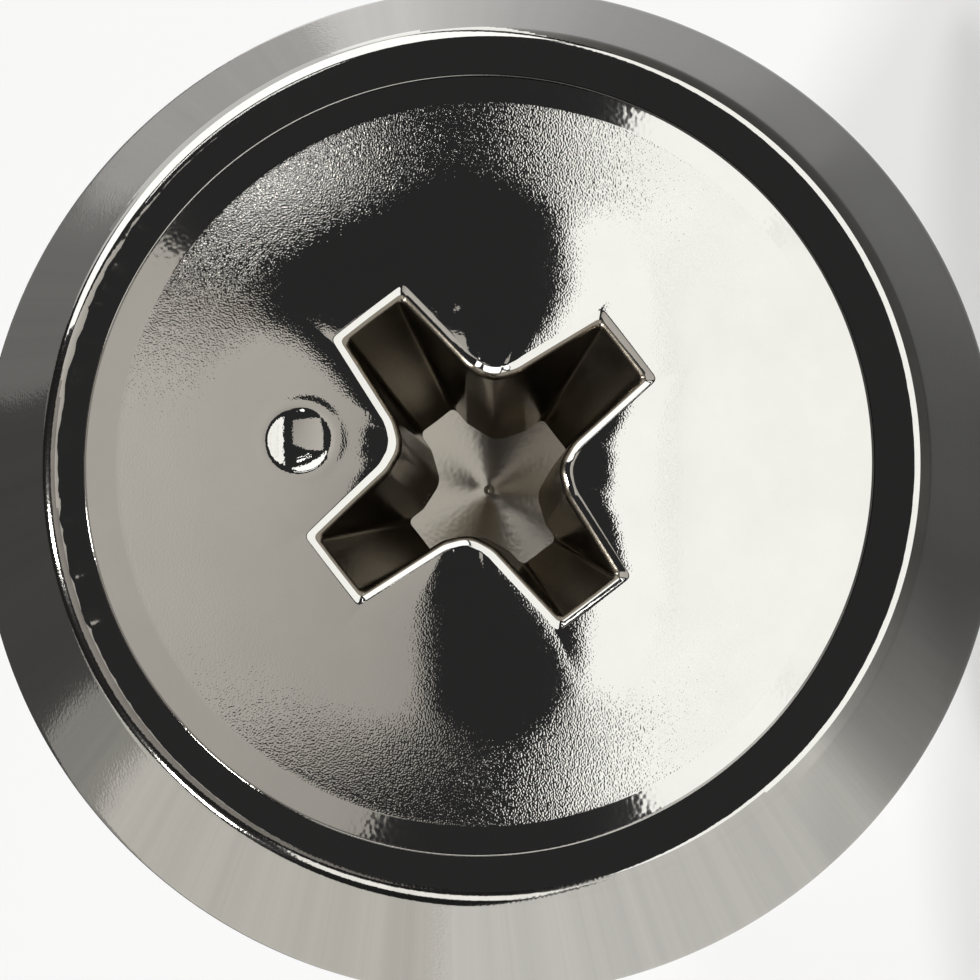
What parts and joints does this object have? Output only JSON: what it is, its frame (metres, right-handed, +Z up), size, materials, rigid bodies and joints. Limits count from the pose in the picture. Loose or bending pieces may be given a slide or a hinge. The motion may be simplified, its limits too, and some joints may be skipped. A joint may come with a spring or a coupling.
{
  "type": "machine screw",
  "caption": "Machine screw with a wide taper-sided head, a low domed crown, a cross recess with a round dimple beside it, and a fully threaded shank.",
  "frame": {"origin": "middle of the base of the box round the screw as it lies at rest, on the edge of its bearing face and the edge of its tip", "axes": "+Y is the long way, from the head to the tip; +Z is up; the top of the head faces -Y and 14.4 degrees up"},
  "size_m": [0.013, 0.0196, 0.0126],
  "materials": {
    "nickel": "bright nickel plate on steel, orange-peel grain on the dome"
  },
  "bodies": {
    "root": {"screw": "nickel"}
  },
  "joints": []
}
